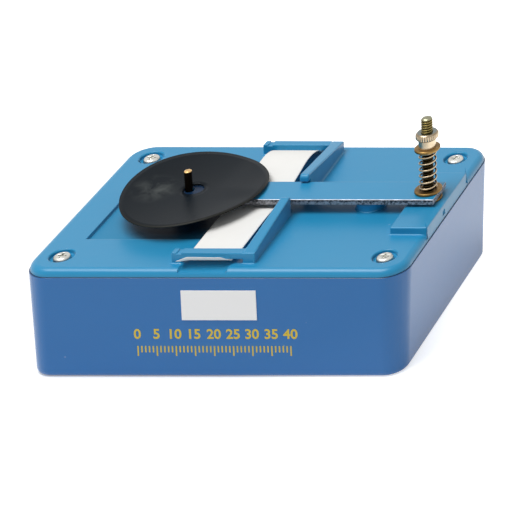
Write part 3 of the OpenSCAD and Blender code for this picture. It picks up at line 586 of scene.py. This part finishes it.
def rubbed_wire(name):
    """Spring wire, painted black inside the coil as painted shade, and painted bright outside as a painted
    highlight.
    """
    material, tree, where = start_material(name)
    # Painted shade on the inside of the coil, painted highlight on its outer face.
    outside = add_node(tree, "MapRange", {"From Min": wound_radius + 0.07 * mm,
                                          "From Max": wound_radius + 0.16 * mm},
                       {"Value": distance_from_upright(tree, where, axis)})
    spots = add_node(tree, "TexNoise", {"Scale": 1 / (0.9 * mm), "Detail": 3.0}, {"Vector": where})
    bright = add_node(tree, "Mix", {"data_type": "RGBA", 6: linear("#d9c6a6"), 7: linear("#a08a6c")},
                      {"Factor": spots.outputs["Fac"]})
    tint = add_node(tree, "Mix", {"data_type": "RGBA", 6: linear("#19130d")},
                    {"Factor": outside.outputs[0], 7: bright.outputs[2]})
    return end_material(material, {"Metallic": 1.0, "Roughness": 0.28}, {"Base Color": tint.outputs[2]})


spring = add_piece("spring", bm, rubbed_wire("spring steel wire"), None, ["adjusting_spring"])
even_shading(spring, 60)
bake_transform(spring)

# ---- the thumb nut ----
# Turned from brass and nickel-plated, warm in tone, with a straight knurl round the head.
nut_low, nut_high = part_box("thumb_nut")
nut_top, head_foot = nut_high.z, nut_high.z - 2 * mm
knurl_crest = (nut_high.x - nut_low.x) / 2


def knurled_nickel(name):
    """Warm nickel plate, darker brown in the knurl's grooves, and on the flat top a painted grey-blue reflection.
    """
    material, tree, where = start_material(name)
    height = add_node(tree, "SeparateXYZ", {}, {0: where})
    on_head = add_node(tree, "MapRange", {"From Min": head_foot - 0.02 * mm, "From Max": head_foot + 0.02 * mm},
                       {"Value": height.outputs["Z"]})
    depth = add_node(tree, "MapRange", {"From Min": knurl_crest - 0.02 * mm, "From Max": knurl_crest - 0.2 * mm,
                                        "To Max": 0.6}, {"Value": distance_from_upright(tree, where, axis)})
    in_groove = add_node(tree, "Math", {"operation": "MULTIPLY"}, {0: depth.outputs[0], 1: on_head.outputs[0]})
    blotches = add_node(tree, "TexNoise", {"Scale": 1 / (1.4 * mm), "Detail": 3.0}, {"Vector": where})
    plate = add_node(tree, "Mix", {"data_type": "RGBA", 6: linear("#dfcfb4"), 7: linear("#b7a486")},
                     {"Factor": blotches.outputs["Fac"]})
    darkened = add_node(tree, "Mix", {"data_type": "RGBA", 7: linear("#66543f")},
                     {"Factor": in_groove.outputs[0], 6: plate.outputs[2]})
    # Painted reflection: the flat top is tinted grey-blue.
    on_top = add_node(tree, "MapRange", {"From Min": nut_top - 0.03 * mm, "From Max": nut_top - 0.01 * mm,
                                         "To Max": 0.85}, {"Value": height.outputs["Z"]})
    painted_top_reflection = add_node(tree, "Mix", {"data_type": "RGBA", 7: linear("#74807f")},
                      {"Factor": on_top.outputs[0], 6: darkened.outputs[2]})
    return end_material(material, {"Metallic": 1.0, "Roughness": 0.26}, {"Base Color": painted_top_reflection.outputs[2]})


finish_node("thumb_nut", knurled_nickel("nickel plate, warm"), "nut", 0.06 * mm, 2)


# ---- the pin ----
# A brass pin stands in the lid's boss. Its sides are nearly black, partly with carbon and partly as a painted
# reflection of the dark disc over it, and its tip is rubbed bright.
def blackened_pin(name, tip):
    """Brass nearly black, partly carbon and partly a painted reflection of the dark disc, but bright above the
    given height.
    """
    material, tree, where = start_material(name)
    height = add_node(tree, "SeparateXYZ", {}, {0: where})
    ragged = add_node(tree, "TexNoise", {"Scale": 1 / (0.5 * mm), "Detail": 3.0}, {"Vector": where})
    wander = add_node(tree, "MapRange", {"To Min": -0.15 * mm, "To Max": 0.15 * mm},
                      {"Value": ragged.outputs["Fac"]})
    edge = add_node(tree, "Math", {"operation": "ADD"}, {0: height.outputs["Z"], 1: wander.outputs[0]})
    bright = add_node(tree, "MapRange", {"From Min": tip - 0.4 * mm, "From Max": tip - 0.25 * mm},
                      {"Value": edge.outputs[0]})
    tint = add_node(tree, "Mix", {"data_type": "RGBA", 6: linear("#1a130c"), 7: linear("#d9b277")},
                    {"Factor": bright.outputs[0]})
    return end_material(material, {"Metallic": 0.9, "Roughness": 0.36}, {"Base Color": tint.outputs[2]})


pin_radius = 1.0 * mm
pin_foot = Vector((boss_top.x, boss_top.y, 0))
pin_lean = math.radians(4)
bm = bmesh.new()
turn_profile(bm, [(0, pin_low.z), (pin_radius, pin_low.z), (pin_radius, pin_high.z - 0.3 * mm),
                  (pin_radius - 0.1 * mm, pin_high.z - 0.12 * mm), (pin_radius - 0.35 * mm, pin_high.z - 0.02 * mm),
                  (0, pin_high.z)], pin_foot, 32)
for v in bm.verts:
    v.co.x -= math.tan(pin_lean) * max(0, v.co.z - boss_top.z)
pin = add_piece("pin", bm, blackened_pin("brass, blackened", pin_high.z), "case", ["disc_pin"])
even_shading(pin, 50)

# ---- the carbon disc ----
# A loose disc cut by hand from matt carbon paper, with its hole a little off the middle. It lies over the boss and
# the strip, and is warped, up at the front right and the back left. It is lifted just clear of the strip, which
# rises as it vibrates. Handling has left faint smudges, and its rim is painted paler as a painted sheen.
disc_low, disc_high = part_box("carbon_disc")
disc_middle = (disc_low + disc_high) / 2
disc_radius = 18.6 * mm
hole_radius = 2.6 * mm
disc_thickness = 0.25 * mm
disc_height = 34.63 * mm
tilt_x, tilt_y = -0.0323, 0.0279
warp_xx, warp_xy, warp_yy = 0.00265 / mm, -0.00523 / mm, 0.00135 / mm
strip_clearance = 0.27 * mm
rub_place, rub_reach = disc_middle + Vector((-10 * mm, -1 * mm, 0)), 7 * mm
cut_off_centre = Vector((0.6 * mm, -0.75 * mm, 0))
radial_steps = 12
bm = bmesh.new()
turn_profile(bm, [(hole_radius + (disc_radius - hole_radius) * i / radial_steps, 0)
                  for i in range(radial_steps + 1)], disc_middle, 120)
for v in bm.verts:
    x, y = v.co.x - disc_middle.x, v.co.y - disc_middle.y
    v.co.z = disc_height + tilt_x * x + tilt_y * y + warp_xx * x * x + warp_xy * x * y + warp_yy * y * y
    over_strip = min(1, max(0, x - 5 * mm) / (7 * mm)) * min(1, max(0, y + 6 * mm) / (7 * mm))
    v.co.z += strip_clearance * over_strip * over_strip * (3 - 2 * over_strip)
    v.co += cut_off_centre * (math.hypot(x, y) - hole_radius) / (disc_radius - hole_radius)


def carbon_paper(name):
    """Matt carbon paper: blue-black with faint smudges, rubbed grey on the left, and painted paler round the rim as
    a painted sheen.
    """
    material, tree, where = start_material(name)
    from_middle = add_node(tree, "VectorMath", {"operation": "DISTANCE", 1: disc_middle}, {0: where})
    rim_sheen = add_node(tree, "MapRange", {"From Min": disc_radius - 0.6 * mm, "From Max": disc_radius + 0.6 * mm,
                                      "To Max": 0.35}, {"Value": from_middle.outputs["Value"]})
    from_rub = add_node(tree, "VectorMath", {"operation": "DISTANCE", 1: rub_place}, {0: where})
    near_rub = add_node(tree, "MapRange", {"From Min": rub_reach, "From Max": 0.0},
                        {"Value": from_rub.outputs["Value"]})
    streaks = add_node(tree, "TexNoise", {"Scale": 1 / (4 * mm), "Detail": 3.0, "Distortion": 0.6},
                       {"Vector": where})
    worn = add_node(tree, "MapRange", {"From Min": 0.4, "From Max": 0.8}, {"Value": streaks.outputs["Fac"]})
    rubbed = add_node(tree, "Math", {"operation": "MULTIPLY"}, {0: near_rub.outputs[0], 1: worn.outputs[0]})
    smudges = add_node(tree, "TexNoise", {"Scale": 1 / (11 * mm), "Detail": 3.0}, {"Vector": where})
    fibres = add_node(tree, "TexNoise", {"Scale": 1 / (0.4 * mm), "Detail": 3.0}, {"Vector": where})
    smudged = add_node(tree, "Mix", {"data_type": "RGBA", 6: linear("#0a1117"), 7: linear("#10181f")},
                       {"Factor": smudges.outputs["Fac"]})
    greyed = add_node(tree, "Mix", {"data_type": "RGBA", 7: linear("#565b5a")},
                      {"Factor": rubbed.outputs[0], 6: smudged.outputs[2]})
    tint = add_node(tree, "Mix", {"data_type": "RGBA", 7: linear("#46443a")},
                    {"Factor": rim_sheen.outputs[0], 6: greyed.outputs[2]})
    skin = add_node(tree, "Bump", {"Strength": 0.15, "Distance": 0.05 * mm}, {"Height": fibres.outputs["Fac"]})
    gloss = add_node(tree, "MapRange", {"To Min": 0.3, "To Max": 0.45}, {"Value": smudges.outputs["Fac"]})
    return end_material(material, {"IOR": 1.45, "Specular IOR Level": 0.1},
                        {"Base Color": tint.outputs[2], "Roughness": gloss.outputs[0], "Normal": skin.outputs[0]})


disc = add_piece("carbon_disc_sheet", bm, carbon_paper("carbon paper"), "disc", ["carbon_disc"])
even_shading(disc)
paper_wall = disc.modifiers.new("paper thickness", "SOLIDIFY")
paper_wall.thickness = disc_thickness
paper_wall.offset = 0

# ---- the paper tape ----
# A strip of thin white paper lies through both slots. It dips under the striker and arches before the rear
# slot. Its front end is torn and curls up, with the left corner turned down.
tape_low, tape_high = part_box("paper_tape")
tape_thickness = 0.1 * mm
bow = [(-32, 3.3), (-31.2, 2.6), (-30.4, 1.75), (-29.7, 1.15), (-29, 0.98), (-27, 0.95), (-25, 1.0), (-20, 1.3),
       (-12, 1.7), (-6.5, 1.72), (-4.2, 1.4), (-2, 0.78), (-1, 0.68), (1, 0.68), (2, 0.78), (4.2, 1.4), (6.5, 1.8),
       (9, 2.25), (13, 2.95), (16.5, 3.6), (20, 3.65), (23, 3.1), (25.3, 2.2), (26.4, 1.5), (27.2, 0.98),
       (29, 0.8), (31.5, 0.6)]
aside_at_front, aside_from, aside_over = 0.5 * mm, -5 * mm, 24 * mm
torn_reach, tear_size, tear_depth, tear_row = 2.2 * mm, 1.1 * mm, 0.22 * mm, 3.7
ear_down, ear_out = 1.2 * mm, 0.9 * mm


def bow_height(y):
    """The tape's height above the lid at a place along it: a smooth curve through the bow's points, which are
    (place, height) in millimetres."""
    y = min(max(y / mm, bow[0][0]), bow[-1][0])
    i = max(k for k in range(len(bow) - 1) if bow[k][0] <= y)
    before, start, end, after = (bow[min(max(k, 0), len(bow) - 1)] for k in (i - 1, i, i + 1, i + 2))
    t = (y - start[0]) / (end[0] - start[0])
    leave = (end[1] - before[1]) / (end[0] - before[0]) * (end[0] - start[0])
    arrive = (after[1] - start[1]) / (after[0] - start[0]) * (end[0] - start[0])
    return mm * ((2 * t ** 3 - 3 * t ** 2 + 1) * start[1] + (t ** 3 - 2 * t ** 2 + t) * leave
                 + (3 * t ** 2 - 2 * t ** 3) * end[1] + (t ** 3 - t ** 2) * arrive)


bm = bmesh.new()
bmesh.ops.create_grid(bm, x_segments=40, y_segments=150, size=0.5)
bmesh.ops.scale(bm, vec=(tape_high.x - tape_low.x, tape_high.y - tape_low.y, 1), verts=bm.verts)
bmesh.ops.translate(bm, vec=((tape_low.x + tape_high.x) / 2, (tape_low.y + tape_high.y) / 2, lid_top),
                    verts=bm.verts)
for v in bm.verts:
    from_left = (v.co.x - tape_low.x) / (tape_high.x - tape_low.x)
    near_end = max(0, 1 - (v.co.y - tape_low.y) / torn_reach)
    dog_ear = near_end * max(0, 1 - 7 * from_left)
    tear = tear_depth * noise.noise(Vector((v.co.x / tear_size, tear_row, 0)))
    v.co.y += near_end * (tear - 0.6 * mm + 0.5 * mm * from_left + 1.6 * mm * max(0, 6 * from_left - 5))
    v.co.z += bow_height(v.co.y) - ear_down * dog_ear
    v.co.x -= aside_at_front * min(1, max(0, aside_from - v.co.y) / aside_over) ** 2 + ear_out * dog_ear


def tape_paper(name):
    """Uncoated white paper: faint fibres and a very slight unevenness."""
    material, tree, where = start_material(name)
    fibres = add_node(tree, "TexNoise", {"Scale": 1 / (0.5 * mm), "Detail": 4.0}, {"Vector": where})
    cloud = add_node(tree, "TexNoise", {"Scale": 1 / (6 * mm), "Detail": 2.0}, {"Vector": where})
    tint = add_node(tree, "Mix", {"data_type": "RGBA", 6: linear("#efeeeb"), 7: linear("#f6f5f1")},
                    {"Factor": cloud.outputs["Fac"]})
    skin = add_node(tree, "Bump", {"Strength": 0.15, "Distance": 0.03 * mm}, {"Height": fibres.outputs["Fac"]})
    return end_material(material, {"Roughness": 0.8, "IOR": 1.45},
                        {"Base Color": tint.outputs[2], "Normal": skin.outputs[0]})


tape = add_piece("tape", bm, tape_paper("uncoated white paper"), "tape", ["paper_tape"])
tape_wall = tape.modifiers.new("paper thickness", "SOLIDIFY")
tape_wall.thickness = tape_thickness
tape_wall.offset = 0
even_shading(tape, 60)
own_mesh(tape)
